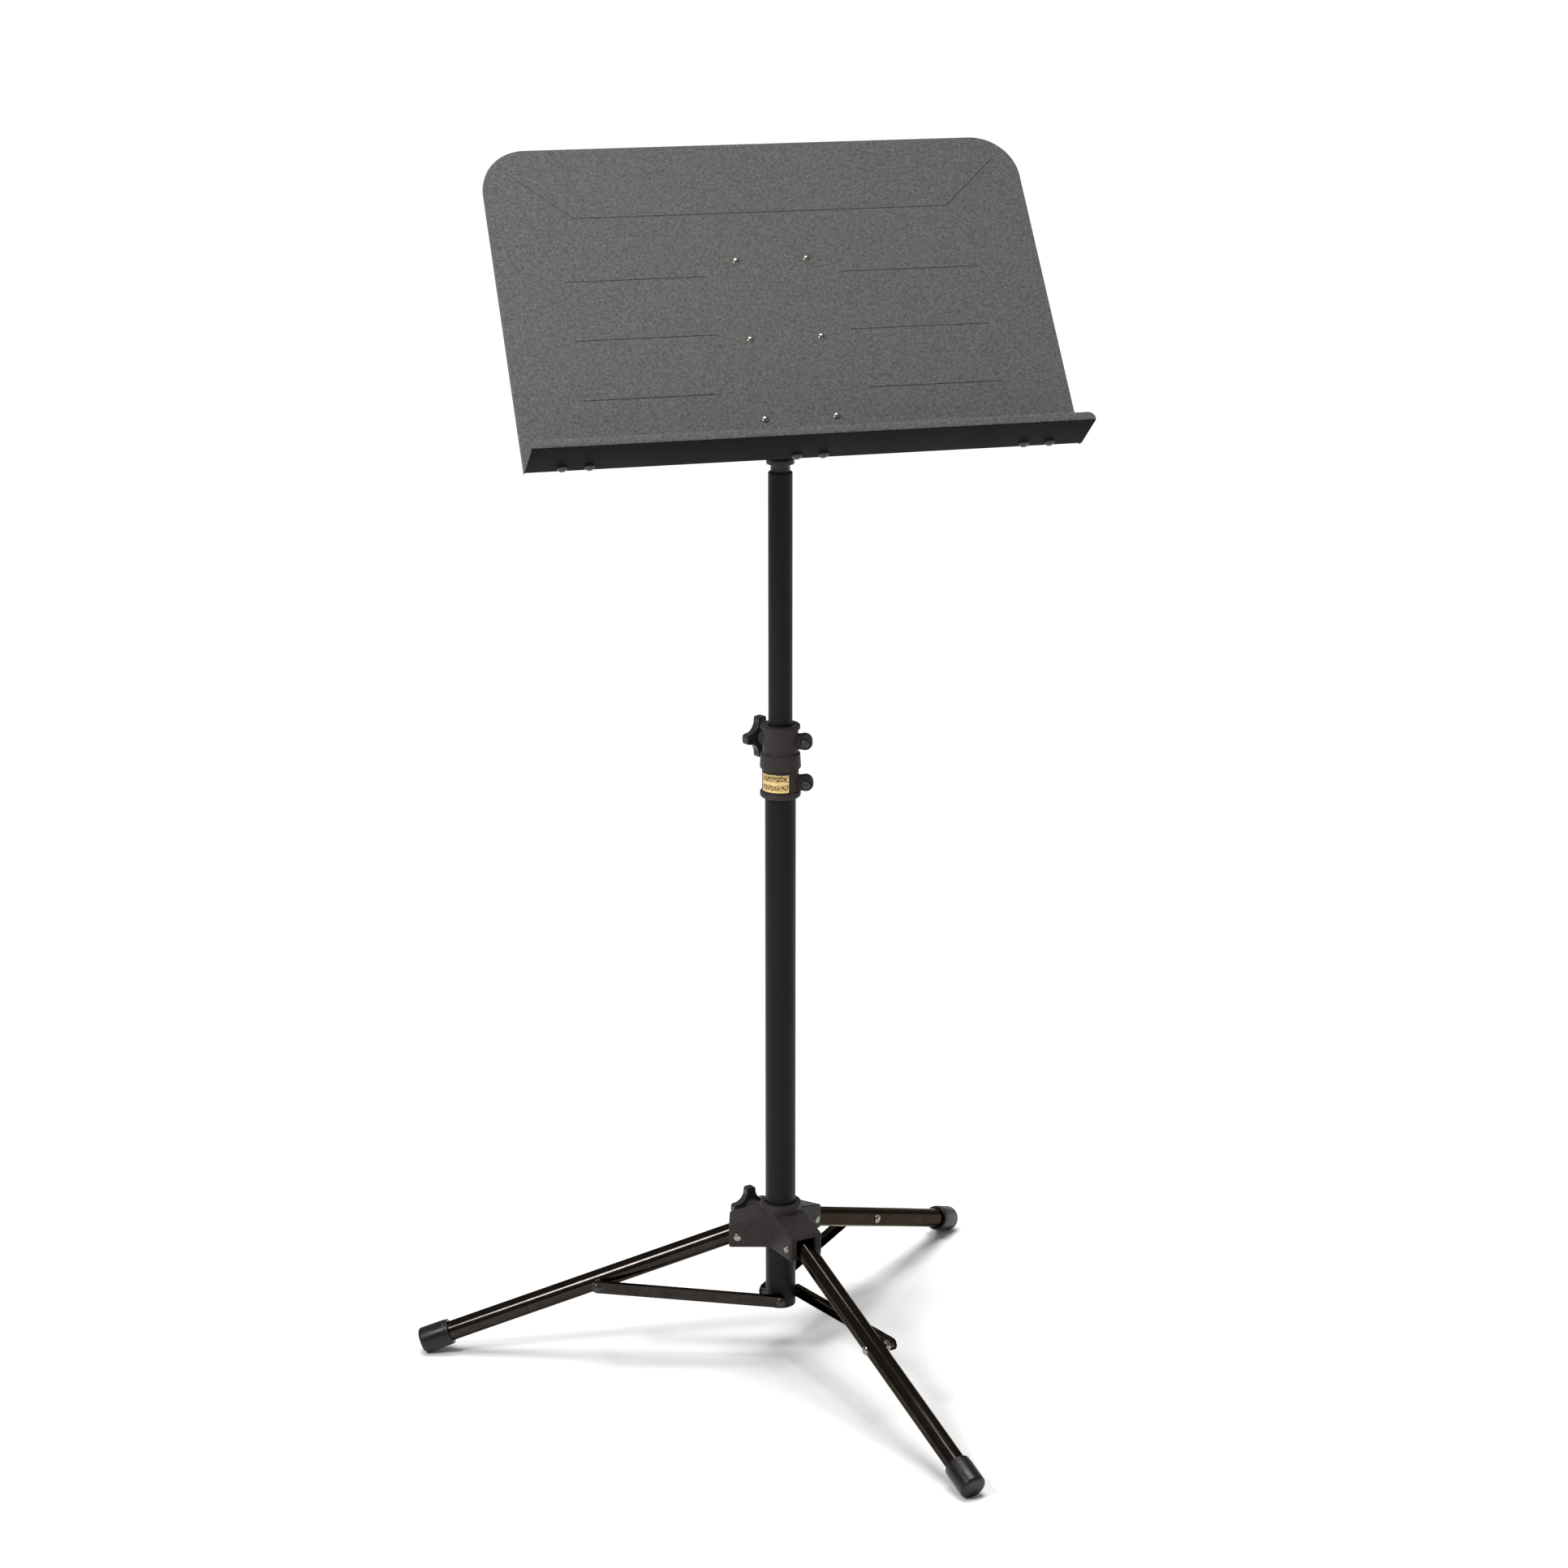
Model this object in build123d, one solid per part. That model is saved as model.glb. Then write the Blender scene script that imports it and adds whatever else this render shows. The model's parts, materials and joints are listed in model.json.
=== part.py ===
"""Folding orchestra music stand: steel desk on a two-stage mast with a collapsing tripod.

Frame: millimetres, +Z up, origin on the floor on the mast's axis.  The desk faces -Y and its
lip runs along X.  Every leg, brace and knob is drawn once in a local frame, X out from the
mast, Y anticlockwise around it, and is then turned to its azimuth.
"""
from build123d import *
from math import acos, asin, atan2, cos, degrees, dist, radians, sin
import os

BOTTOM = (Align.CENTER, Align.CENTER, Align.MIN)

# ---- driving dimensions ---------------------------------------------------------------------
fit_gap = 0.05            # radial gap of pieces that are fixed together
run_gap = 0.08            # radial gap of pins that turn
slide_gap = 0.10          # radial gap of tubes and sleeves that slide

lower_radius = 14.3       # 1-1/8 in tube
lower_wall = 1.6
lower_bottom = 53.0
lower_top = 603.0
upper_radius = 11.1       # 7/8 in tube
upper_wall = 1.4
upper_bottom = 305.0
upper_top = 863.0

leg_azimuths = {"right": 44.0, "left": 164.0, "front": 284.0}
leg_radius = 9.5          # 3/4 in tube
leg_wall = 1.2
leg_pitch = 20.8          # below the horizontal
leg_pivot_reach = 40.7    # from the mast's axis
leg_length = 326.0        # pivot to the outer end of the foot cap
cap_radius = 12.6
cap_length = 30.0
cap_end_round = 3.2
cap_flat_depth = 0.6      # flat worn or moulded where the cap meets the floor
leg_end_round = 10.5      # the leg's upper end, about its pivot

brace_joint_along = 143.0  # leg pivot to the joint with the brace
brace_pivot_height = 60.5
brace_inner = 15.0        # sideways from the mast's axis to the channel's open side
brace_outer = 21.0
brace_height = 11.0
brace_wall = 1.2

hub_bottom = 116.0
hub_top = 158.0
hub_bead_height = 9.0
hub_bead_radius = 19.8
hub_sleeve_radius = 17.6
arm_half_width = 17.0
arm_reach = 49.0
arm_slope = 0.31
arm_roof = 3.6
hub_knob_azimuth = 108.0
hub_knob_height = 133.5

collar_joint = 585.4      # where the upper collar meets the lower one
collar_bottom = 559.0
collar_top = 627.7
collar_screw_azimuth = -15.7
mast_knob_azimuth = 119.3
mast_knob_height = 611.0
label_start = 186.0
label_end = 281.0

desk_width = 504.0
desk_height = 316.0
desk_corner = 42.0
desk_draw = 3.5           # how far each side leans in at the top
desk_sheet = 1.0
desk_rim = 5.0            # depth of the returned rim behind the panel's face
desk_tilt = 38.0          # back from the vertical
desk_forward = 92.0       # the bend at the panel's foot, in front of the mast's axis
desk_bend_height = 893.2
ledge_depth = 44.0
lip_height = 7.0
flange_depth = 18.0
tilt_up_panel = 117.0     # the tilt pivot, measured up the panel from the bend
tilt_behind = 24.6        # and behind the panel's face
bracket_rows = 79.0
bracket_columns = 65.0

pin_radius = 2.5          # leg pivots
rivet_radius = 2.5        # brace pivots
panel_rivet_radius = 1.95
stud_radius = 3.0

# ---- worked out -----------------------------------------------------------------------------
leg_down = radians(leg_pitch)
leg_pivot_height = ((leg_length - cap_end_round) * sin(leg_down)
                    + (cap_radius - cap_end_round) * cos(leg_down) + cap_end_round - cap_flat_depth)
joint_reach = leg_pivot_reach + brace_joint_along * cos(leg_down)
joint_height = leg_pivot_height - brace_joint_along * sin(leg_down)
brace_length = (joint_reach ** 2 + (joint_height - brace_pivot_height) ** 2) ** 0.5
brace_rise = degrees(asin((joint_height - brace_pivot_height) / brace_length))
brace_folded = degrees(acos(leg_pivot_reach / brace_length))
fold_travel = (brace_pivot_height + brace_length * sin(radians(brace_folded))
               + brace_joint_along - leg_pivot_height)

tilt = radians(desk_tilt)
desk_plane = Plane(origin=(0, -desk_forward, desk_bend_height), x_dir=(1, 0, 0),
                   z_dir=(0, -cos(tilt), sin(tilt)))
tilt_y = -desk_forward + tilt_up_panel * sin(tilt) + tilt_behind * cos(tilt)
tilt_z = desk_bend_height + tilt_up_panel * cos(tilt) - tilt_behind * sin(tilt)
lower_bore = lower_radius - lower_wall
upper_bore = upper_radius - upper_wall


# ---- helpers --------------------------------------------------------------------------------
def rod(radius, low, high):
    """Upright cylinder about the Z axis between two heights."""
    return Pos(0, 0, low) * Cylinder(radius, high - low, align=BOTTOM)


def ring(outer, inner, low, high):
    """Upright tube about the Z axis."""
    return rod(outer, low, high) - rod(inner, low - 1, high + 1)


def along_x(shape):
    """Turns a shape drawn along +Z so that it lies along +X."""
    return Rot(0, 90, 0) * shape


def along_y(shape):
    """Turns a shape drawn along +Z so that it lies along +Y."""
    return Rot(-90, 0, 0) * shape


def turned(points):
    """Solid of revolution about Z from (radius, height) points."""
    face = make_face(Polyline(*[(r, 0, z) for r, z in points], close=True))
    return revolve(face, Axis.Z)


def side_prism(points, low_y, high_y):
    """Prism across Y from (x, z) points."""
    face = make_face(Polyline(*[(x, low_y, z) for x, z in points], close=True))
    return extrude(face, amount=high_y - low_y, dir=(0, 1, 0))


def domed_head(radius, height, low):
    """Rivet head drawn along +Z: flat below, domed above."""
    dome = (radius ** 2 + height ** 2) / (2 * height)
    ball = Pos(0, 0, low + height - dome) * Sphere(dome)
    return ball & rod(radius * 1.2, low, low + height + 1)


def turn(shape, azimuth):
    return Rot(0, 0, azimuth) * shape


def group(shapes):
    """Separate solids that share one node."""
    return Compound(children=[solid for shape in shapes for solid in shape.solids()])


# ---- mast -----------------------------------------------------------------------------------
def lower_tube():
    tube = ring(lower_radius, lower_bore, lower_bottom, lower_top)
    hole = Pos(0, 0, brace_pivot_height) * along_y(rod(rivet_radius + fit_gap, 10, 20))
    for azimuth in leg_azimuths.values():
        tube -= turn(hole, azimuth)
    return tube


def lower_tube_plug():
    """Moulded plug that closes the lower tube's open end."""
    cap = rod(lower_radius, lower_bottom - 1.5, lower_bottom)
    cap = fillet(cap.edges().group_by(Axis.Z)[0], 0.8)
    return cap + rod(lower_bore - fit_gap, lower_bottom - 0.5, lower_bottom + 4)


def guide_bushing():
    """Sleeve in the mouth of the lower tube that centres the upper tube."""
    return ring(lower_bore - fit_gap, upper_radius + slide_gap, lower_top - 22, lower_top)


def upper_tube():
    lip = 1.2
    return turned([
        (upper_bore, upper_bottom), (upper_radius, upper_bottom),
        (upper_radius, upper_top - lip), (upper_radius - lip, upper_top),
        (upper_bore, upper_top)])


def glide_plug():
    """Foot of the upper tube: a spigot inside it and a flange that slides in the lower tube."""
    plug = rod(lower_bore - slide_gap, upper_bottom - 9, upper_bottom)
    plug = chamfer(plug.edges().group_by(Axis.Z)[0], 1.0)
    plug += rod(upper_bore - fit_gap, upper_bottom - 1, upper_bottom + 14)
    return plug - rod(5.5, upper_bottom - 10, upper_bottom + 15)


def swivel_bushing():
    return ring(upper_bore - fit_gap, 8.3, upper_top - 26, upper_top - 0.2)


# ---- mast clamp -----------------------------------------------------------------------------
ear_radius = 7.15
ear_inner = 1.0
ear_outer = 6.0


def ears(reach, height):
    """Two rounded ears either side of the collar's slit, drawn towards +X."""
    tongue = along_y(rod(ear_radius, -ear_outer, ear_outer))
    tongue = fillet(tongue.edges(), 1.2)
    root = Pos(-reach / 2 + 3, 0, 0) * Box(reach - 6, 2 * ear_outer, 2 * ear_radius - 1.5)
    return Pos(reach, 0, height) * (tongue + root)


def slit(low, high):
    return Pos(22, 0, (low + high) / 2) * Box(24, 2 * ear_inner, high - low)


def screw_hole(reach, height):
    return Pos(reach, 0, height) * along_y(rod(2.1, -12, 12))


def knob_boss(inner, outer, height):
    boss = rod(7.5, inner, outer)
    boss = fillet(boss.edges().group_by(Axis.Z)[-1], 0.8)
    return Pos(0, 0, height) * along_x(boss)


def knob_bore(pad_start, insert_start, outer, height):
    """Bore for the pad and, outside it, for the threaded insert."""
    bore = rod(4.3, pad_start, insert_start + 0.5) + rod(5.0 + fit_gap, insert_start, outer + 1)
    return Pos(0, 0, height) * along_x(bore)


upper_ear_reach = 22.5
lower_ear_reach = 23.3
lower_ear_height = 571.9


def collar_upper():
    """Moulded collar: its skirt sits over the lower tube and its throat grips the upper one."""
    shoulder = 601.0
    bead = 5.0
    body = rod(16.4, shoulder - 1, collar_top - 1)
    skirt = Pos(0, 0, collar_joint) * Cone(19.2, 18.3, shoulder - collar_joint, align=BOTTOM)
    skirt = fillet(skirt.edges().group_by(Axis.Z)[-1], 1.2)
    skirt = chamfer(skirt.edges().group_by(Axis.Z)[0], 2.0)
    rim = rod(18.4, collar_top - bead, collar_top)
    rim = fillet(rim.edges(), 1.8)
    collar = body + skirt + rim
    collar += turn(ears(upper_ear_reach, mast_knob_height), collar_screw_azimuth)
    collar += turn(knob_boss(12, 22.5, mast_knob_height), mast_knob_azimuth)
    collar -= rod(lower_radius + fit_gap, collar_joint - 1, lower_top + 0.2)
    collar -= rod(upper_radius + slide_gap, collar_joint, collar_top + 1)
    collar -= turn(slit(shoulder + 0.5, collar_top + 1), collar_screw_azimuth)
    collar -= turn(screw_hole(upper_ear_reach, mast_knob_height), collar_screw_azimuth)
    return collar - turn(knob_bore(5, 16.5, 22.5, mast_knob_height), mast_knob_azimuth)


def collar_lower():
    """Moulded collar clamped round the top of the lower tube."""
    bead = 6.5
    body = rod(17.0, collar_bottom + 1, collar_joint - 0.1)
    rim = fillet(rod(18.9, collar_bottom, collar_bottom + bead).edges(), 2.2)
    collar = body + rim + turn(ears(lower_ear_reach, lower_ear_height), collar_screw_azimuth)
    collar -= rod(lower_radius + fit_gap, collar_bottom - 1, collar_joint + 1)
    collar -= turn(slit(collar_bottom - 1, collar_joint + 1), collar_screw_azimuth)
    return collar - turn(screw_hole(lower_ear_reach, lower_ear_height), collar_screw_azimuth)


def collar_screw(reach, height):
    """Pan head cross recessed screw, head towards -Y of its local frame."""
    head = fillet(rod(3.9, ear_outer, ear_outer + 2.8).edges().group_by(Axis.Z)[-1], 1.4)
    recess = Pos(0, 0, ear_outer + 2.8) * (Box(4.2, 1.0, 2.4) + Box(1.0, 4.2, 2.4))
    screw = head + rod(2.0, -ear_outer - 5, ear_outer) - recess
    return turn(Pos(reach, 0, height) * Rot(90, 0, 0) * screw, collar_screw_azimuth)


def collar_nut(reach, height):
    nut = extrude(RegularPolygon(7 / 3 ** 0.5, 6), amount=3.2) - rod(2.0 + fit_gap, -1, 5)
    nut = Pos(reach, ear_outer, height) * along_y(nut)
    return turn(nut, collar_screw_azimuth)


screw_places = [(upper_ear_reach, mast_knob_height), (lower_ear_reach, lower_ear_height)]


def label_plate():
    """Thin curved nameplate on the lower collar."""
    inner = 17.0 + fit_gap
    outer = inner + 0.35
    band = ring(outer, inner, collar_bottom + 7.4, collar_joint - 2.2)
    arc = radians(label_end - label_start)
    sector = make_face(Polyline((0, 0), (60, 0), (60, 60), (60 * cos(arc), 60 * sin(arc)),
                                close=True))
    sector = Pos(0, 0, collar_bottom) * extrude(sector, amount=30)
    return band & turn(sector, label_start)


# ---- clamp knobs ----------------------------------------------------------------------------
knob_span = 39.0
knob_arm = 10.0
knob_thickness = 8.0


def knob(neck):
    """Four armed hand knob drawn along +Z from the end of its neck."""
    outline = Rectangle(knob_span, knob_arm) + Rectangle(knob_arm, knob_span)
    inner = outline.vertices().sort_by_distance((0, 0, 0))[:4]
    outline = fillet(inner, 10.5)
    tips = outline.vertices().sort_by_distance((0, 0, 0))[-8:]
    outline = fillet(tips, 3.0)
    disc = extrude(outline, amount=knob_thickness)
    disc = fillet(disc.edges().group_by(Axis.Z)[-1], 1.6)
    disc = Pos(0, 0, neck) * disc
    if neck > 0.5:
        disc += rod(7.0, 0, neck + 1)
    return disc - rod(stud_radius + fit_gap, -1, neck + 6)


def knob_parts(azimuth, height, tube_radius, insert_start, boss_end, knob_start, neck):
    """Knob, stud, threaded insert and pressure pad along one radius."""
    pad_end = insert_start - 1.6
    nose = tube_radius + 2.7
    body = knob(neck)
    stud = rod(stud_radius, pad_end + 1.3, knob_start + neck + 5.8)
    stud += rod(2.2, nose, pad_end + 2)
    insert = ring(5.0, stud_radius + run_gap, insert_start, boss_end)
    pad = rod(4.2, tube_radius + slide_gap, pad_end) - rod(2.3, nose - 1.1, pad_end + 1)
    pieces = [Pos(0, 0, knob_start) * body, stud, insert, pad]
    place = [turn(Pos(0, 0, height) * along_x(piece), azimuth) for piece in pieces]
    return place


# ---- desk -----------------------------------------------------------------------------------
def on_desk(shape):
    """Places a shape drawn with x along the lip, y up the panel and z towards the player."""
    return desk_plane.location * shape


def desk_outline(inset):
    """Panel outline with two rounded top corners, its foot at y = 0."""
    half = desk_width / 2 - inset
    top = desk_height - inset
    low = 0 if inset == 0 else -10
    corner = desk_corner - inset
    outline = make_face(Polyline((-half, low), (half, low), (half - desk_draw, top),
                                 (-half + desk_draw, top), close=True))
    return fillet(outline.vertices().group_by(Axis.Y)[-1], corner)


def crease(start, end):
    """Shallow V groove pressed into the panel's face."""
    side = 0.85
    middle_x, middle_y = (start[0] + end[0]) / 2, (start[1] + end[1]) / 2
    heading = degrees(atan2(end[1] - start[1], end[0] - start[0]))
    bar = Rot(45, 0, 0) * Box(dist(start, end), side, side)
    return Pos(middle_x, middle_y, 0) * Rot(0, 0, heading) * bar


crease_top = 245.0
crease_lines = [
    ((-173, crease_top), (173, crease_top)),
    ((-173, crease_top), (-227, 294)),
    ((173, crease_top), (227, 294)),
]
for row_start, row_end, row_height in ((-190, -62, 181.5), (-189, -60, 123), (-191, -67, 64.5)):
    crease_lines.append(((row_start, row_height), (row_end, row_height)))
    crease_lines.append(((-row_start, row_height), (-row_end, row_height)))

bracket_rivets_at = [(x * bracket_columns / 2, tilt_up_panel + row * bracket_rows)
                     for x in (-1, 1) for row in (-1, 0, 1)]
ledge_rivets_at = [-220, -196, -12, 12, 196, 220]
ledge_rivet_depth = 4.9


def desk_panel():
    """Pressed panel with a returned rim and a flange at its foot for the ledge."""
    face = extrude(desk_outline(0), amount=-desk_rim)
    rim_edges = face.edges().group_by(Axis.Z)[-1]
    face = fillet(rim_edges.sort_by(Axis.Y)[1:], 0.9)
    pocket = Pos(0, 0, -desk_sheet) * extrude(desk_outline(desk_sheet), amount=-desk_rim)
    flange = Pos(0, desk_sheet / 2, flange_depth / 2) * Box(
        desk_width - 2, desk_sheet, flange_depth)
    panel = face - pocket + flange
    for x, y in bracket_rivets_at:
        panel -= Pos(x, y, -3) * Cylinder(panel_rivet_radius + fit_gap, 6)
    for x in ledge_rivets_at:
        panel -= Pos(x, 0, ledge_rivet_depth) * along_y(rod(panel_rivet_radius + fit_gap, -3, 3))
    for start, end in crease_lines:
        panel -= crease(start, end)
    return on_desk(panel)


def desk_ledge():
    """Shelf for the music, with an upturned lip at its front edge."""
    shelf = Pos(0, -desk_sheet / 2, (ledge_depth - desk_sheet) / 2) * Box(
        desk_width, desk_sheet, ledge_depth + desk_sheet)
    lip = Pos(0, (lip_height - desk_sheet) / 2) * Rectangle(desk_width, lip_height + desk_sheet)
    lip = fillet(lip.vertices().group_by(Axis.Y)[-1], lip_height - 0.5)
    lip = Pos(0, 0, ledge_depth - desk_sheet) * extrude(lip, amount=desk_sheet)
    ledge = shelf + lip
    for x in ledge_rivets_at:
        ledge -= Pos(x, 0, ledge_rivet_depth) * along_y(rod(panel_rivet_radius + fit_gap, -3, 3))
    return on_desk(ledge)


def ledge_rivets():
    """Six rivets through the panel's flange and the shelf, domed above and below."""
    rivet = rod(panel_rivet_radius, -desk_sheet, desk_sheet) + domed_head(4.6, 3.4, desk_sheet)
    rivet += Rot(180, 0, 0) * domed_head(3.2, 1.0, desk_sheet)
    rivet = Rot(90, 0, 0) * rivet
    return group([on_desk(Pos(x, 0, ledge_rivet_depth) * rivet) for x in ledge_rivets_at])


bracket_sheet = 1.5
bracket_back = -desk_sheet - bracket_sheet
ear_gap = 13.5


def desk_bracket():
    """Pressed saddle riveted behind the panel, with two ears for the tilt bolt."""
    plate = Pos(0, tilt_up_panel) * RectangleRounded(84, 186, 10)
    plate = Pos(0, 0, bracket_back) * extrude(plate, amount=bracket_sheet)
    side = [(-32, bracket_back + 0.5), (32, bracket_back + 0.5), (10.5, -tilt_behind - 3.5),
            (-10.5, -tilt_behind - 3.5)]
    ear = extrude(make_face(Polyline(*[(0, y + tilt_up_panel, z) for y, z in side], close=True)),
                  amount=bracket_sheet, dir=(1, 0, 0))
    ear += Pos(0, tilt_up_panel, -tilt_behind) * along_x(rod(11, 0, bracket_sheet))
    hole = Pos(0, tilt_up_panel, -tilt_behind) * along_x(rod(4 + fit_gap, -20, 20))
    saddle = plate + Pos(ear_gap, 0, 0) * ear + Pos(-ear_gap - bracket_sheet, 0, 0) * ear - hole
    for x, y in bracket_rivets_at:
        saddle -= Pos(x, y, -3) * Cylinder(panel_rivet_radius + fit_gap, 6)
    return on_desk(saddle)


def bracket_rivets():
    rivet = rod(panel_rivet_radius, bracket_back, 0) + domed_head(3.2, 1.3, 0)
    rivet += Rot(180, 0, 0) * domed_head(3.0, 1.2, -bracket_back)
    return group([on_desk(Pos(x, y, 0) * rivet) for x, y in bracket_rivets_at])


def at_tilt_axis(shape):
    """Places a shape drawn along +Z on the tilt axis, which runs along X."""
    return Pos(0, tilt_y, tilt_z) * along_x(shape)


boss_half_width = 12.0
washer_start = boss_half_width + 0.05
ear_face = ear_gap + bracket_sheet
lock_start = ear_face + 1.4


def tilt_bolt():
    bolt = rod(4.0, -ear_face, 25)
    head = extrude(RegularPolygon(13 / 3 ** 0.5, 6), amount=5.0)
    head &= Pos(0, 0, 6) * Sphere(9)
    return at_tilt_axis(bolt + Pos(0, 0, -ear_face - 5) * head)


def tilt_washers():
    """Two friction washers between the bracket's ears and the head's boss."""
    washer = ring(11, 4 + fit_gap, washer_start, ear_gap - 0.02)
    return group([at_tilt_axis(washer), at_tilt_axis(Rot(180, 0, 0) * washer)])


def tilt_spring_washer():
    outer, inner = 8.0, 4 + fit_gap
    cone = turned([(inner, ear_face + 0.45), (outer, ear_face + 0.02), (outer, ear_face + 0.95),
                   (inner, lock_start - 0.02)])
    return at_tilt_axis(cone)


def tilt_nut():
    nut = extrude(RegularPolygon(13 / 3 ** 0.5, 6), amount=6.5) + rod(5.6, 0, 8.0)
    nut -= rod(4 + fit_gap, -1, 9)
    return at_tilt_axis(Pos(0, 0, lock_start) * nut)


def desk_head():
    """Casting that swivels in the upper tube and carries the desk on its cross boss."""
    column = turned([
        (0, upper_top - 28), (8.22, upper_top - 28), (8.22, upper_top + 0.1),
        (8.9, upper_top + 0.1), (8.9, upper_top + 6), (12.8, upper_top + 6.4),
        (12.8, upper_top + 11), (10.5, upper_top + 13), (9.6, tilt_z - 4), (0, tilt_z - 4)])
    boss = fillet(rod(13, -boss_half_width, boss_half_width).edges(), 1.0)
    return column + at_tilt_axis(boss) - at_tilt_axis(rod(4 + run_gap, -20, 20))


# ---- tripod ---------------------------------------------------------------------------------
def along_leg(shape):
    """Places a shape drawn with the leg pivot at the origin and the leg along +X."""
    return Pos(leg_pivot_reach, 0, leg_pivot_height) * Rot(0, leg_pitch, 0) * shape


def along_brace(shape):
    """Places a shape drawn with the brace's inner pivot at the origin, the brace along +X."""
    return Pos(0, 0, brace_pivot_height) * Rot(0, -brace_rise, 0) * shape


def hub_housing():
    """Sliding hub: a sleeve with a beaded top and three forked arms."""
    slope_start = hub_sleeve_radius - 1
    roof = hub_top - hub_bead_height

    def roof_at(x):
        return roof - arm_slope * (x - slope_start)

    sleeve = rod(hub_sleeve_radius, hub_bottom, hub_top - 1)
    bead = fillet(rod(hub_bead_radius, roof - 0.5, hub_top).edges(), 2.6)
    arm = side_prism([(5, hub_bottom), (arm_reach, hub_bottom), (arm_reach, roof_at(arm_reach)),
                      (slope_start, roof), (5, roof)], -arm_half_width, arm_half_width)
    arm = fillet(arm.edges().filter_by(Axis.Z).group_by(Axis.X)[-1], 2.0)
    arm = fillet(arm.faces().sort_by(Axis.X)[-1].edges().group_by(Axis.Z)[-1], 1.6)
    slot_start, slot_end = 21, 60
    slot = side_prism([(slot_start, hub_bottom - 9), (slot_end, hub_bottom - 9),
                       (slot_end, roof_at(slot_end) - arm_roof),
                       (slot_start, roof_at(slot_start) - arm_roof)],
                      -leg_radius - 0.3, leg_radius + 0.3)
    pin_hole = Pos(leg_pivot_reach, 0, leg_pivot_height) * along_y(
        rod(pin_radius + fit_gap, -20, 20))
    hub = sleeve + bead
    for azimuth in leg_azimuths.values():
        hub += turn(arm, azimuth)
    hub += turn(knob_boss(12, 45.5, hub_knob_height), hub_knob_azimuth)
    for azimuth in leg_azimuths.values():
        hub -= turn(slot, azimuth) + turn(pin_hole, azimuth)
    hub -= rod(lower_radius + slide_gap, hub_bottom - 1, hub_top + 1)
    return hub - turn(knob_bore(8, 20.2, 45.5, hub_knob_height), hub_knob_azimuth)


def leg_pivot_pins():
    """Three rivets across the hub's arms, domed at both ends."""
    pin = rod(pin_radius, -arm_half_width, arm_half_width)
    head = domed_head(3.8, 1.5, arm_half_width)
    pin = along_y(pin + head + Rot(180, 0, 0) * head)
    pin = Pos(leg_pivot_reach, 0, leg_pivot_height) * pin
    return group([turn(pin, azimuth) for azimuth in leg_azimuths.values()])


def leg_tube(azimuth):
    end = leg_length - 3.0
    tube = along_x(ring(leg_radius, leg_radius - leg_wall, -12, end))
    keep = along_y(rod(leg_end_round, -20, 20)) + Pos(end / 2, 0, 0) * Box(end, 40, 40)
    tube = (tube & keep) - along_y(rod(pin_radius + run_gap, -20, 20))
    tube -= Pos(brace_joint_along, 0, 0) * along_y(rod(rivet_radius + fit_gap, -20, 20))
    return turn(along_leg(tube), azimuth)


def foot_cap(azimuth):
    """Soft cap over the leg's end, flattened where it meets the floor."""
    body = rod(cap_radius, leg_length - cap_length, leg_length)
    body = fillet(body.edges().group_by(Axis.Z)[-1], cap_end_round)
    body = fillet(body.edges().group_by(Axis.Z)[0], 0.8)
    body -= rod(leg_radius + fit_gap, leg_length - cap_length - 1, leg_length - 2.95)
    cap = along_leg(along_x(body))
    return turn(cap - Pos(leg_length, 0, -25) * Box(200, 60, 50), azimuth)


def leg_brace_pin(azimuth):
    """Rivet through the leg, with the spacer that stands the brace off."""
    rivet = rod(rivet_radius, -leg_radius, brace_inner - 0.3)
    rivet += Rot(180, 0, 0) * domed_head(4.4, 2.6, leg_radius)
    spacer = ring(5.0, rivet_radius + fit_gap, leg_radius, brace_inner - 0.3)
    pieces = [Pos(brace_joint_along, 0, 0) * along_y(piece) for piece in (rivet, spacer)]
    return group([turn(along_leg(piece), azimuth) for piece in pieces])


def brace(azimuth):
    """Pressed channel with rounded ends, its open side towards the leg."""
    outline = Pos(brace_length / 2, 0) * SlotCenterToCenter(brace_length, brace_height)
    bar = Pos(0, brace_outer, 0) * Rot(90, 0, 0) * extrude(
        outline, amount=brace_outer - brace_inner)
    width = brace_outer - brace_inner - brace_wall
    hollow = Pos(brace_length / 2, brace_inner + width / 2, 0) * Box(
        brace_length + 40, width, brace_height - 2 * brace_wall)
    bar -= hollow
    for along in (0, brace_length):
        bar -= Pos(along, 0, 0) * along_y(rod(rivet_radius + run_gap, 10, 30))
    return turn(along_brace(bar), azimuth)


def brace_rivet(azimuth):
    """Rivet at the brace's outer end."""
    rivet = rod(rivet_radius, brace_inner, brace_outer) + domed_head(4.2, 1.8, brace_outer)
    rivet += rod(4.0, brace_inner, brace_outer - brace_wall - fit_gap)
    return turn(along_brace(Pos(brace_length, 0, 0) * along_y(rivet)), azimuth)


def brace_pivot_rivets():
    """Three rivets in the lower tube's wall, each with the spacer that its brace turns on."""
    rivet = rod(rivet_radius, 11.0, brace_outer + 0.1)
    rivet += domed_head(4.2, 1.8, brace_outer + fit_gap)
    rivet += rod(4.0, lower_radius + 0.1, brace_outer - brace_wall - fit_gap)
    rivet = Pos(0, 0, brace_pivot_height) * along_y(rivet)
    return group([turn(rivet, azimuth) for azimuth in leg_azimuths.values()])


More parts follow.
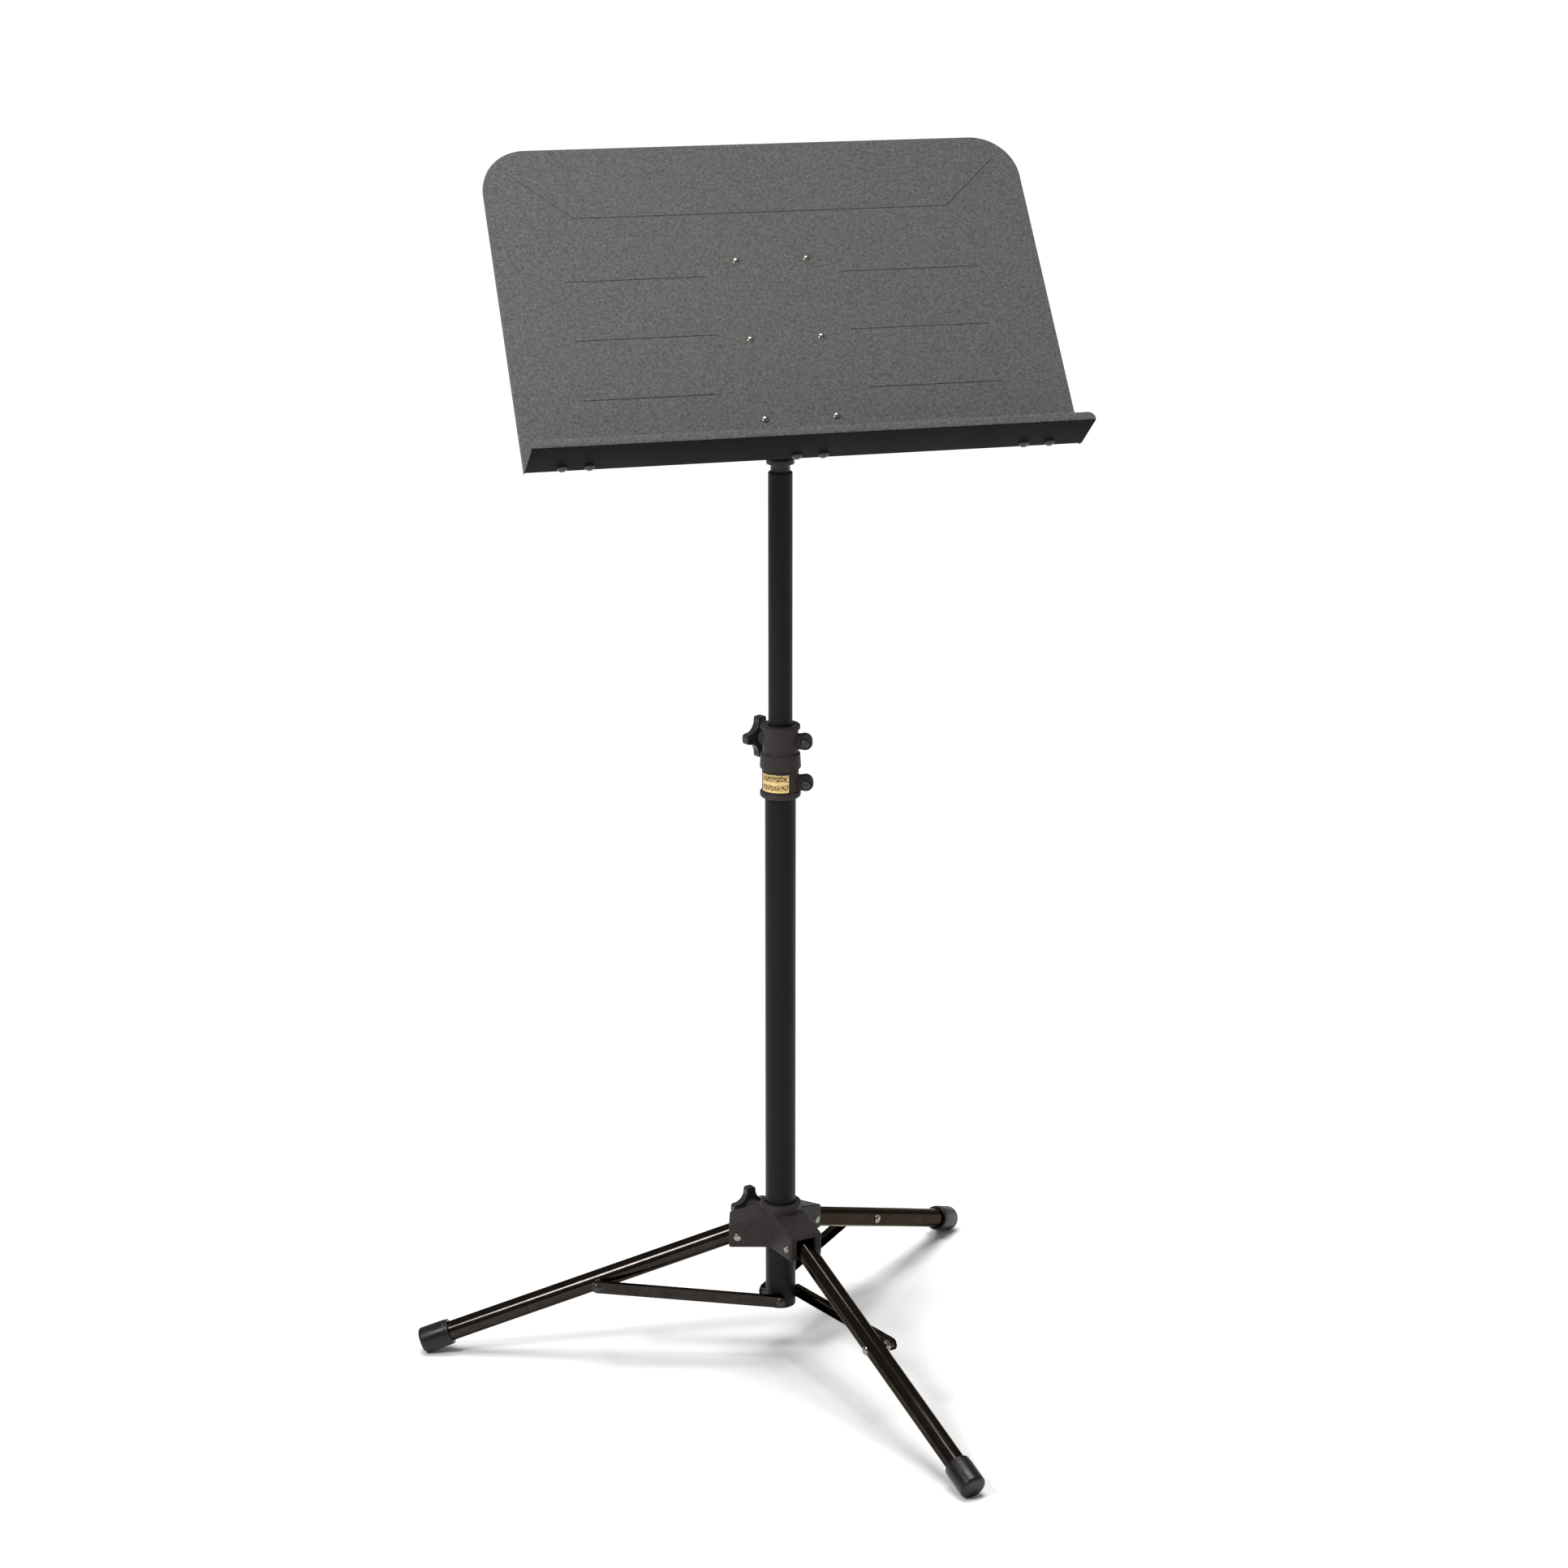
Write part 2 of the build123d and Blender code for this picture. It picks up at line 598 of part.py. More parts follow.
# ---- export ---------------------------------------------------------------------------------
parts = {
    "lower_tube": lower_tube(),
    "lower_tube_plug": lower_tube_plug(),
    "guide_bushing": guide_bushing(),
    "collar_lower": collar_lower(),
    "collar_upper": collar_upper(),
    "collar_screws": group([collar_screw(*place) for place in screw_places]),
    "collar_nuts": group([collar_nut(*place) for place in screw_places]),
    "label_plate": label_plate(),
    "brace_pivot_rivets": brace_pivot_rivets(),
    "upper_tube": upper_tube(),
    "glide_plug": glide_plug(),
    "swivel_bushing": swivel_bushing(),
    "desk_head": desk_head(),
    "desk_panel": desk_panel(),
    "desk_ledge": desk_ledge(),
    "ledge_rivets": ledge_rivets(),
    "desk_bracket": desk_bracket(),
    "bracket_rivets": bracket_rivets(),
    "tilt_bolt": tilt_bolt(),
    "tilt_washers": tilt_washers(),
    "tilt_spring_washer": tilt_spring_washer(),
    "tilt_nut": tilt_nut(),
    "hub_housing": hub_housing(),
    "leg_pivot_pins": leg_pivot_pins(),
}
mast_knob = knob_parts(mast_knob_azimuth, mast_knob_height, upper_radius, 16.5, 22.5, 23.0, 0.0)
hub_knob = knob_parts(hub_knob_azimuth, hub_knob_height, lower_radius, 20.2, 45.5, 46.0, 4.5)
for name, pieces in (("mast", mast_knob), ("hub", hub_knob)):
    for kind, piece in zip(("knob", "stud", "insert", "pad"), pieces):
        parts[f"{name}_{kind}"] = piece
for side, azimuth in leg_azimuths.items():
    parts[f"leg_tube_{side}"] = leg_tube(azimuth)
    parts[f"foot_cap_{side}"] = foot_cap(azimuth)
    parts[f"leg_brace_pin_{side}"] = leg_brace_pin(azimuth)
    parts[f"brace_{side}"] = brace(azimuth)
    parts[f"brace_rivet_{side}"] = brace_rivet(azimuth)

os.makedirs("parts", exist_ok=True)
for name, shape in parts.items():
    export_step(shape, f"parts/{name}.step")

print("leg pivot height", round(leg_pivot_height, 3))
print("brace length", round(brace_length, 3), "rise", round(brace_rise, 3))
print("fold travel", round(fold_travel, 3), "leg turn", 90 - leg_pitch)
print("brace turn", round(brace_folded - brace_rise, 3))
print("tilt axis", round(tilt_y, 3), round(tilt_z, 3))
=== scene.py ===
import json
import math
import bmesh
import bpy
import numpy as np
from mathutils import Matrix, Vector


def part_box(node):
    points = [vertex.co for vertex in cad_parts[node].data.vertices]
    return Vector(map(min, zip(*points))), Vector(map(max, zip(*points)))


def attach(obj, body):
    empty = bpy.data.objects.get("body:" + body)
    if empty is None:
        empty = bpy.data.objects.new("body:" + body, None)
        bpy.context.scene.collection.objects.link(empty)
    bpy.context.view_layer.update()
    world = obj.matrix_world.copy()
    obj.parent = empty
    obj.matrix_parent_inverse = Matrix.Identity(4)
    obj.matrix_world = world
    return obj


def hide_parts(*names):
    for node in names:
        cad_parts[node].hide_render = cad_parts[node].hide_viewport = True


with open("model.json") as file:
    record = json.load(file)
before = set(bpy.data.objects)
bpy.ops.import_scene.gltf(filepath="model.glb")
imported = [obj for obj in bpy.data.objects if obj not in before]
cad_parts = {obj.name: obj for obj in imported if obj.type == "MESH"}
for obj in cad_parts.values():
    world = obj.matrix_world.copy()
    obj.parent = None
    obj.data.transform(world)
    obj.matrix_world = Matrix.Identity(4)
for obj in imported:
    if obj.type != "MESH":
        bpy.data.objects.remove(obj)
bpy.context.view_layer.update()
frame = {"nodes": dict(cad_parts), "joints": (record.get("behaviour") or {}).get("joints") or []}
joints = {joint["name"]: joint for joint in frame["joints"]}
MM = 0.001


# ---- Lower mast tube ------------------------------------------------------------------------
# A length of 1-1/8 in steel tube, cut square, deburred and powder coated satin black.  The
# clamp collar grips its top and the three braces are riveted through its foot.

def span(node):
    """Lowest and highest height of a node."""
    low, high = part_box(node)
    return low.z, high.z


def soft_corners(corners, steps=7):
    """Path through (radius, height, rounding) corners.  Each corner becomes the arc of a circle
    that touches both of its runs, so it starts rounding / tan(half the angle) from the corner."""
    corners = np.array(corners, float)
    point, rounding = corners[1:-1, :2], corners[1:-1, 2]
    back = corners[:-2, :2] - point
    ahead = corners[2:, :2] - point
    back /= np.linalg.norm(back, axis=1, keepdims=True)
    ahead /= np.linalg.norm(ahead, axis=1, keepdims=True)
    half = np.arccos(np.clip((back * ahead).sum(1), -0.9999, 0.9999)) / 2
    reach = (rounding / np.tan(half))[:, None]
    middle = (back + ahead) / np.linalg.norm(back + ahead, axis=1, keepdims=True)
    centre = point + middle * (rounding / np.sin(half))[:, None]
    start, end = point + back * reach - centre, point + ahead * reach - centre
    share = np.linspace(0, 1, steps)[None, :, None]
    sweep = (math.pi - 2 * half)[:, None, None]
    arc = (np.sin((1 - share) * sweep) * start[:, None] + np.sin(share * sweep) * end[:, None])
    arc = centre[:, None] + arc / np.sin(sweep)
    path = np.vstack([corners[:1, :2], arc.reshape(-1, 2), corners[-1:, :2]])
    moved = np.linalg.norm(np.diff(path, axis=0), axis=1) > 1e-7
    return path[np.concatenate([[True], moved])]


def lathe(profile, steps=96):
    """Surface of revolution about +Z: (radius cos a, radius sin a, height) for a whole turn."""
    angle = np.linspace(0, 2 * math.pi, steps + 1)[None, :]
    radius, height = profile[:, :1], profile[:, 1:2]
    return np.stack([radius * np.cos(angle), radius * np.sin(angle),
                     np.repeat(height, steps + 1, 1)], -1)


def placed(grid, origin, along):
    """Moves a grid drawn about +Z so that +Z lies along a direction and 0 at an origin."""
    along = Vector(along).normalized()
    turn = np.array(Vector((0, 0, 1)).rotation_difference(along).to_matrix())
    return grid @ turn.T + np.array(origin, float)


def faces_of(grid, first):
    """Quads between the neighbouring rows and columns of one grid."""
    rows, columns = grid.shape[:2]
    index = first + np.arange(rows * columns).reshape(rows, columns)
    return np.stack([index[:-1, :-1], index[:-1, 1:], index[1:, 1:], index[1:, :-1]],
                    -1).reshape(-1, 4)


def sealed(mesh, crease_angle):
    """Merges doubled points, turns faces outwards and shades smooth up to an angle."""
    work = bmesh.new()
    work.from_mesh(mesh)
    bmesh.ops.remove_doubles(work, verts=work.verts, dist=2e-6)
    bmesh.ops.dissolve_degenerate(work, edges=work.edges, dist=1e-7)
    bmesh.ops.recalc_face_normals(work, faces=work.faces)
    work.to_mesh(mesh)
    work.free()
    mesh.shade_smooth()
    mesh.set_sharp_from_angle(angle=math.radians(crease_angle))


def piece(name, grids, body, material, replaces=(), crease_angle=38):
    """One named object from closed surfaces, riding on a body."""
    first = np.cumsum([0] + [grid.shape[0] * grid.shape[1] for grid in grids])
    points = np.vstack([grid.reshape(-1, 3) for grid in grids])
    faces = np.vstack([faces_of(grid, start) for grid, start in zip(grids, first)])
    mesh = bpy.data.meshes.new(name)
    mesh.from_pydata(points.tolist(), [], faces.tolist())
    sealed(mesh, crease_angle)
    made = bpy.data.objects.new(name, mesh)
    bpy.context.scene.collection.objects.link(made)
    made.data.materials.append(material)
    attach(made, body)
    if replaces:
        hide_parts(*replaces)
    return made


def linear(code):
    """Linear colour of an sRGB hex code."""
    value = np.array([int(code[i:i + 2], 16) for i in (1, 3, 5)]) / 255
    value = np.where(value <= 0.04045, value / 12.92, ((value + 0.055) / 1.055) ** 2.4)
    return (*value.tolist(), 1.0)


def node(tree, kind, settings=(), links=()):
    """Adds a node, sets its properties and socket values, and joins its inputs."""
    added = tree.nodes.new(kind)
    for key, value in dict(settings).items():
        if isinstance(key, str) and hasattr(added, key):
            setattr(added, key, value)
        else:
            added.inputs[key].default_value = value
    for key, source in dict(links).items():
        tree.links.new(source, added.inputs[key])
    return added


def new_material(name, **shader_values):
    """Material with its shader's constants set; returns the material, tree and shader."""
    material = bpy.data.materials.new(name)
    material.use_nodes = True
    tree = material.node_tree
    shader = tree.nodes["Principled BSDF"]
    for key, value in shader_values.items():
        shader.inputs[key.replace("_", " ")].default_value = value
    return material, tree, shader


def coating(name, dark, light, fleck, smooth, rough, grain, depth, cloud=60.0, **shader_values):
    """Paint, powder or moulded skin: two close colours in flecks and slow clouds, roughness that
    follows the clouds, and a grain of a given size and depth.  Sizes are in millimetres."""
    material, tree, shader = new_material(name, **shader_values)
    place = node(tree, "ShaderNodeTexCoord").outputs["Object"]
    flecks = node(tree, "ShaderNodeTexNoise", {"Scale": 1000 / fleck, "Detail": 3.0,
                                               "Roughness": 0.65}, {"Vector": place})
    clouds = node(tree, "ShaderNodeTexNoise", {"Scale": 1000 / cloud, "Detail": 2.0},
                  {"Vector": place})
    both = node(tree, "ShaderNodeMath", {"operation": "MULTIPLY_ADD", 1: 0.35},
                {0: clouds.outputs["Fac"], 2: flecks.outputs["Fac"]})
    shade = node(tree, "ShaderNodeMapRange", {"From Min": 0.45, "From Max": 0.9},
                 {"Value": both.outputs[0]})
    colour = node(tree, "ShaderNodeMix", {"data_type": "RGBA", 6: linear(dark),
                                          7: linear(light)}, {0: shade.outputs["Result"]})
    gloss = node(tree, "ShaderNodeMapRange", {"From Min": 0.3, "From Max": 0.7,
                                              "To Min": smooth, "To Max": rough},
                 {"Value": clouds.outputs["Fac"]})
    skin = node(tree, "ShaderNodeTexNoise", {"Scale": 1000 / grain, "Detail": 2.0},
                {"Vector": place})
    bump = node(tree, "ShaderNodeBump", {"Strength": 1.0, "Distance": depth * MM},
                {"Height": skin.outputs["Fac"]})
    tree.links.new(colour.outputs[2], shader.inputs["Base Color"])
    tree.links.new(gloss.outputs["Result"], shader.inputs["Roughness"])
    tree.links.new(bump.outputs["Normal"], shader.inputs["Normal"])
    return material


# Satin powder coat on tube: near black with a faint orange peel, so highlights stay broad.
satin_powder = coating("satin_black_powder_coat", "#0d0d0d", "#141313", 5.0, 0.42, 0.52,
                       1.6, 0.012, Specular_IOR_Level=0.14)

lower_low, lower_high = span("lower_tube")
lower_radius = (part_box("lower_tube")[1].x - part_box("lower_tube")[0].x) / 2
lower_wall = 1.6 * MM
tube_edge = 0.4 * MM


def tube_profile(radius, wall, low, high, edge):
    """Closed section of a tube with lightly rounded rims."""
    inner = radius - wall
    middle = (low + high) / 2
    return soft_corners([(inner, middle, 0), (inner, low, edge), (radius, low, edge),
                         (radius, high, edge), (inner, high, edge), (inner, middle, 0)])


piece("lower_mast_tube", [lathe(tube_profile(lower_radius, lower_wall, lower_low, lower_high,
                                             tube_edge))],
      "mast_base", satin_powder, ["lower_tube"])


# ---- Upper mast tube ------------------------------------------------------------------------
# 7/8 in steel tube in the same satin coat, its top swaged in a little round the desk's spigot.
# It slides in the lower tube on a nylon plug and is held by the clamp.

upper_low, upper_high = span("upper_tube")
upper_radius = (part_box("upper_tube")[1].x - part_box("upper_tube")[0].x) / 2
upper_wall = 1.4 * MM
upper_bore = upper_radius - upper_wall
swage = 1.4 * MM
upper_middle = (upper_low + upper_high) / 2
upper_profile = soft_corners([
    (upper_bore, upper_middle, 0), (upper_bore, upper_low, tube_edge),
    (upper_radius, upper_low, tube_edge), (upper_radius, upper_high - swage, swage),
    (upper_radius - swage, upper_high, 0.3 * MM), (upper_bore, upper_high, 0.2 * MM),
    (upper_bore, upper_middle, 0)])
piece("upper_mast_tube", [lathe(upper_profile)], "upper_mast", satin_powder,
      ["upper_tube"])


# ---- Moulded clamp collars ------------------------------------------------------------------
# Two split collars moulded in glass filled black nylon: the upper one has a skirt over the
# lower tube and a boss for the knob, the lower one carries the nameplate.

def softened(source, name, body, material, voxel, passes):
    """Moulded or cast piece with every edge eased: the node's solid is merged, wrapped in a
    skin of small even quads and relaxed, so an edge gets a radius of about its quad's size."""
    mesh = frame["nodes"][source].data.copy()
    mesh.materials.clear()
    work = bmesh.new()
    work.from_mesh(mesh)
    bmesh.ops.remove_doubles(work, verts=work.verts, dist=2e-6)
    work.to_mesh(mesh)
    work.free()
    made = bpy.data.objects.new(name, mesh)
    bpy.context.scene.collection.objects.link(made)
    skin = made.modifiers.new("skin", "REMESH")
    skin.mode = "VOXEL"
    skin.voxel_size = voxel * MM
    skin.use_smooth_shade = True
    relax = made.modifiers.new("relax", "SMOOTH")
    relax.factor = 0.5
    relax.iterations = passes
    finished = made.evaluated_get(bpy.context.evaluated_depsgraph_get())
    made.data = bpy.data.meshes.new_from_object(finished)
    made.modifiers.clear()
    made.data.name = name
    made.data.shade_smooth()
    made.data.materials.clear()
    made.data.materials.append(material)
    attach(made, body)
    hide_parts(source)
    return made


# Moulded nylon: brownish black, a fine spark eroded texture that softens every highlight.
moulded_nylon = coating("moulded_black_nylon", "#2c2928", "#393534", 3.0, 0.42, 0.52, 0.9,
                        0.03, cloud=18.0, Specular_IOR_Level=0.08)

collar_voxel, collar_passes = 0.45, 5
softened("collar_upper", "upper_clamp_collar", "mast_base", moulded_nylon,
         collar_voxel, collar_passes)
softened("collar_lower", "lower_clamp_collar", "mast_base", moulded_nylon,
         collar_voxel, collar_passes)


# ---- Nameplate ------------------------------------------------------------------------------
# A thin gold foil plate curved round the lower collar, printed with a plain border and two
# music staves in dark brown.

label_low, label_high = span("label_plate")
label_start, label_end = math.radians(186.0), math.radians(281.0)
label_inner, label_outer = 17.02 * MM, 17.42 * MM
label_rim = 0.18 * MM


def bent_plate(start, end, low, high, inner, outer, rim):
    """Curved plate: a rounded rectangular section swept round Z.  The section's two ends are
    drawn in to its middle, which closes the plate."""
    middle, half = (low + high) / 2, (high - low) / 2
    section = soft_corners([(inner, middle, 0), (inner, low, rim), (outer, low, rim),
                            (outer, high, rim), (inner, high, rim), (inner, middle, 0)], 4)
    angle = np.concatenate([[start], np.linspace(start, end, 72), [end]])
    size = np.ones(len(angle))
    size[0] = size[-1] = 0.0
    centre = np.array([(inner + outer) / 2, middle])
    path = centre + (section[None] - centre) * size[:, None, None]
    return np.stack([path[..., 0] * np.cos(angle)[:, None],
                     path[..., 0] * np.sin(angle)[:, None], path[..., 1]], -1)


stave_lines = 17.0
line_share, band_shift, band_share = 0.2, 0.02, 0.10
border_share = 0.08
note_columns, note_rows, note_size = 11.0, 8.0, 0.3


def foil():
    """Brushed gold foil with two printed staves: dark lines and note heads in two bands, inside
    a plain border."""
    material, tree, shader = new_material("printed_gold_foil", Metallic=0.85)
    place = node(tree, "ShaderNodeTexCoord").outputs["Object"]
    parts = node(tree, "ShaderNodeSeparateXYZ", {}, {"Vector": place})
    height = node(tree, "ShaderNodeMapRange", {"From Min": label_low, "From Max": label_high},
                  {"Value": parts.outputs["Z"]})
    angle = node(tree, "ShaderNodeMath", {"operation": "ARCTAN2"},
                 {0: parts.outputs["Y"], 1: parts.outputs["X"]})
    turned = node(tree, "ShaderNodeMath", {"operation": "WRAP", 1: 2 * math.pi, 2: 0.0},
                  {0: angle.outputs[0]})
    along = node(tree, "ShaderNodeMapRange", {"From Min": label_start, "From Max": label_end},
                 {"Value": turned.outputs[0]})
    staves = node(tree, "ShaderNodeMath", {"operation": "PINGPONG", 1: 0.5},
                  {0: node(tree, "ShaderNodeMath", {"operation": "MULTIPLY", 1: stave_lines},
                           {0: height.outputs["Result"]}).outputs[0]})
    line = node(tree, "ShaderNodeMath", {"operation": "LESS_THAN", 1: line_share},
                {0: staves.outputs[0]})
    bands = node(tree, "ShaderNodeMath", {"operation": "PINGPONG", 1: 0.25},
                 {0: node(tree, "ShaderNodeMath", {"operation": "SUBTRACT", 1: band_shift},
                          {0: height.outputs["Result"]}).outputs[0]})
    in_band = node(tree, "ShaderNodeMath", {"operation": "GREATER_THAN", 1: band_share},
                   {0: bands.outputs[0]})
    edge_high = node(tree, "ShaderNodeMath", {"operation": "PINGPONG", 1: 0.5},
                     {0: along.outputs["Result"]})
    inside = node(tree, "ShaderNodeMath", {"operation": "GREATER_THAN", 1: border_share},
                  {0: edge_high.outputs[0]})
    print_mask = node(tree, "ShaderNodeMath", {"operation": "MULTIPLY"},
                      {0: line.outputs[0], 1: in_band.outputs[0]})
    print_mask = node(tree, "ShaderNodeMath", {"operation": "MULTIPLY"},
                      {0: print_mask.outputs[0], 1: inside.outputs[0]})
    note_place = node(tree, "ShaderNodeCombineXYZ", {},
                      {0: node(tree, "ShaderNodeMath", {"operation": "MULTIPLY", 1: note_columns},
                               {0: along.outputs["Result"]}).outputs[0],
                       1: node(tree, "ShaderNodeMath", {"operation": "MULTIPLY", 1: note_rows},
                               {0: height.outputs["Result"]}).outputs[0]})
    heads = node(tree, "ShaderNodeTexVoronoi", {"voronoi_dimensions": "2D", "Scale": 1.0,
                                                "Randomness": 0.75},
                 {"Vector": note_place.outputs[0]})
    head = node(tree, "ShaderNodeMath", {"operation": "LESS_THAN", 1: note_size},
                {0: heads.outputs["Distance"]})
    head = node(tree, "ShaderNodeMath", {"operation": "MULTIPLY"},
                {0: head.outputs[0], 1: in_band.outputs[0]})
    ink = node(tree, "ShaderNodeMath", {"operation": "MAXIMUM"},
               {0: print_mask.outputs[0], 1: head.outputs[0]})
    brushed = node(tree, "ShaderNodeTexNoise", {"Scale": 1000 / 2.5, "Detail": 3.0},
                   {"Vector": place})
    gold = node(tree, "ShaderNodeMix", {"data_type": "RGBA", 6: linear("#b08c48"),
                                        7: linear("#ecd6a0")}, {0: brushed.outputs["Fac"]})
    colour = node(tree, "ShaderNodeMix", {"data_type": "RGBA", 7: linear("#3a2408")},
                  {0: ink.outputs[0], 6: gold.outputs[2]})
    gloss = node(tree, "ShaderNodeMapRange", {"To Min": 0.24, "To Max": 0.6},
                 {"Value": ink.outputs[0]})
    tree.links.new(colour.outputs[2], shader.inputs["Base Color"])
    tree.links.new(gloss.outputs["Result"], shader.inputs["Roughness"])
    return material


piece("gold_nameplate", [bent_plate(label_start, label_end, label_low, label_high, label_inner,
                                    label_outer, label_rim)],
      "mast_base", foil(), ["label_plate"])


# ---- Clamp screws, studs, inserts and nuts --------------------------------------------------
# Bought fasteners: blackened collar screws, zinc plated nuts, bolts and studs, and turned brass
# inserts pressed into the nylon.

def metal(name, dark, light, smooth, rough, streak, depth):
    """Plated or turned metal: a full metal whose tone and roughness vary in fine streaks."""
    material, tree, shader = new_material(name, Metallic=1.0)
    place = node(tree, "ShaderNodeTexCoord").outputs["Object"]
    streaks = node(tree, "ShaderNodeTexNoise", {"Scale": 1000 / streak, "Detail": 4.0,
                                                "Roughness": 0.6}, {"Vector": place})
    colour = node(tree, "ShaderNodeMix", {"data_type": "RGBA", 6: linear(dark),
                                          7: linear(light)}, {0: streaks.outputs["Fac"]})
    gloss = node(tree, "ShaderNodeMapRange", {"To Min": smooth, "To Max": rough},
                 {"Value": streaks.outputs["Fac"]})
    bump = node(tree, "ShaderNodeBump", {"Strength": 1.0, "Distance": depth * MM},
                {"Height": streaks.outputs["Fac"]})
    tree.links.new(colour.outputs[2], shader.inputs["Base Color"])
    tree.links.new(gloss.outputs["Result"], shader.inputs["Roughness"])
    tree.links.new(bump.outputs["Normal"], shader.inputs["Normal"])
    return material


def finish_node(names, material):
    """Gives CAD nodes that stay as they are their real finish."""
    for name in names:
        slots = frame["nodes"][name].data.materials
        slots.clear()
        slots.append(material)


# Zinc plate is bright with a faint dull mottle; nickel is warmer and more polished; turned
# brass is yellow with fine tool marks; blackened steel keeps a soft sheen.
zinc_plate = metal("zinc_plated_steel", "#a4a6a8", "#c6c7c6", 0.26, 0.42, 1.2, 0.01)
nickel_plate = metal("polished_nickel_plate", "#7d7a75", "#9b9892", 0.12, 0.22, 1.5, 0.006)
turned_brass = metal("turned_brass", "#a8843e", "#c9a458", 0.24, 0.38, 0.8, 0.01)
blackened_steel = coating("blackened_steel", "#161616", "#222222", 1.5, 0.24, 0.36, 0.8, 0.01,
                          cloud=6.0)

finish_node(["collar_nuts", "mast_stud", "hub_stud", "tilt_bolt", "tilt_nut",
             "tilt_spring_washer"], zinc_plate)
finish_node(["mast_insert", "hub_insert"], turned_brass)
finish_node(["collar_screws"], blackened_steel)


# ---- Bushings, plugs and pads ---------------------------------------------------------------
# Natural acetal bushings and pressure pads, the black swivel bushing, and the black plug in
# the mast's foot.

# Natural acetal: off white, slightly waxy.
natural_acetal = coating("natural_acetal", "#cfcabd", "#dcd8cc", 4.0, 0.36, 0.48, 1.2, 0.01,
                         cloud=20.0)
finish_node(["guide_bushing", "glide_plug", "mast_pad", "hub_pad"], natural_acetal)
finish_node(["swivel_bushing"], moulded_nylon)
# Vulcanised fibre: dull red brown.
vulcanised_fibre = coating("vulcanised_fibre", "#5a2c20", "#6d382a", 1.5, 0.6, 0.75, 0.6, 0.02,
                           cloud=9.0)
finish_node(["tilt_washers"], vulcanised_fibre)

plug_low, plug_high = span("lower_tube_plug")
plug_spigot = lower_radius - lower_wall - 0.05 * MM
plug_profile = soft_corners([
    (0, plug_low, 0), (lower_radius, plug_low, 1.0 * MM), (lower_radius, lower_low, 0.2 * MM),
    (plug_spigot, lower_low, 0.1 * MM), (plug_spigot, plug_high, 0.5 * MM), (0, plug_high, 0)])
piece("mast_foot_plug", [lathe(plug_profile)], "mast_base", moulded_nylon,
      ["lower_tube_plug"])


# ---- Hand knobs -----------------------------------------------------------------------------
# Four armed hand knobs moulded over the head of a stud, in a harder, glossier black plastic.

# Moulded phenolic look: deep black, smooth with a slight ripple.
knob_plastic = coating("moulded_black_knob", "#262625", "#31302f", 4.0, 0.26, 0.36, 2.0, 0.012,
                       cloud=14.0, Specular_IOR_Level=0.25)
knob_voxel, knob_passes = 0.38, 6
for where in ("mast", "hub"):
    softened(f"{where}_knob", f"{where}_clamp_hand_knob", f"{where}_clamp_knob",
             knob_plastic, knob_voxel, knob_passes)


# ---- Sliding hub ----------------------------------------------------------------------------
# One nylon moulding that slides on the lower tube: a beaded sleeve, three forked arms that
# carry the legs, and a boss for its knob.

hub_voxel, hub_passes = 0.62, 5
softened("hub_housing", "sliding_hub", "hub", moulded_nylon, hub_voxel, hub_passes)


# ---- Rivets ---------------------------------------------------------------------------------
# Semi tubular rivets: domed nickel heads on the hub, the legs and the desk, blackened heads on
# the braces.

def domed_rivet(radius, height, shank, low):
    """Profile of a rivet from its shank's far end to the top of its dome."""
    crown = np.linspace(0, math.pi / 2, 14)[:, None]
    dome = np.hstack([radius * np.cos(crown), height * np.sin(crown)])
    return np.vstack([[(0, low), (shank, low), (shank, 0), (radius * 0.97, 0)], dome])


def axis_of(name):
    return np.array(joints[name]["pos_m"]), np.array(joints[name]["axis"])


leg_sides = ["right", "left", "front"]
pin_radius, arm_half_width = 2.5 * MM, 17.0 * MM
pin_head = domed_rivet(3.8 * MM, 1.5 * MM, pin_radius, -arm_half_width)
pins = []
for side in leg_sides:
    pivot, axis = axis_of(f"leg_{side}_pivot")
    for way in (1, -1):
        pins.append(placed(lathe(pin_head, 40), pivot + way * axis * arm_half_width, way * axis))
piece("leg_pivot_rivets", pins, "hub", nickel_plate, ["leg_pivot_pins"])


# ---- Legs -----------------------------------------------------------------------------------
# Three lengths of 3/4 in tube in gloss brown-black enamel.  The upper end is rounded off so
# that it can turn under the hub's roof.

# Gloss enamel with a fine bronze flake: a dark warm sheen that shows wide bright streaks and
# stays dark at a grazing angle.
gloss_enamel = coating("gloss_brown_black_enamel", "#2c2826", "#393431", 9.0, 0.12, 0.17, 6.0,
                       0.004, cloud=45.0, Metallic=1.0, Specular_Tint=linear("#c2bcb6"))

leg_pitch = math.radians(20.8)
leg_radius = 9.5 * MM
leg_wall = 1.2 * MM
leg_end = 10.5 * MM
leg_length = 326.0 * MM
joint_along = 143.0 * MM
cap_length = 30.0 * MM


def leg_frame(side):
    """Pivot, direction down the leg, and the sideways direction of its pins."""
    pivot, sideways = axis_of(f"leg_{side}_pivot")
    outward = np.cross(sideways, (0, 0, 1))
    along = outward * math.cos(leg_pitch) - np.array([0, 0, math.sin(leg_pitch)])
    return pivot, along, sideways


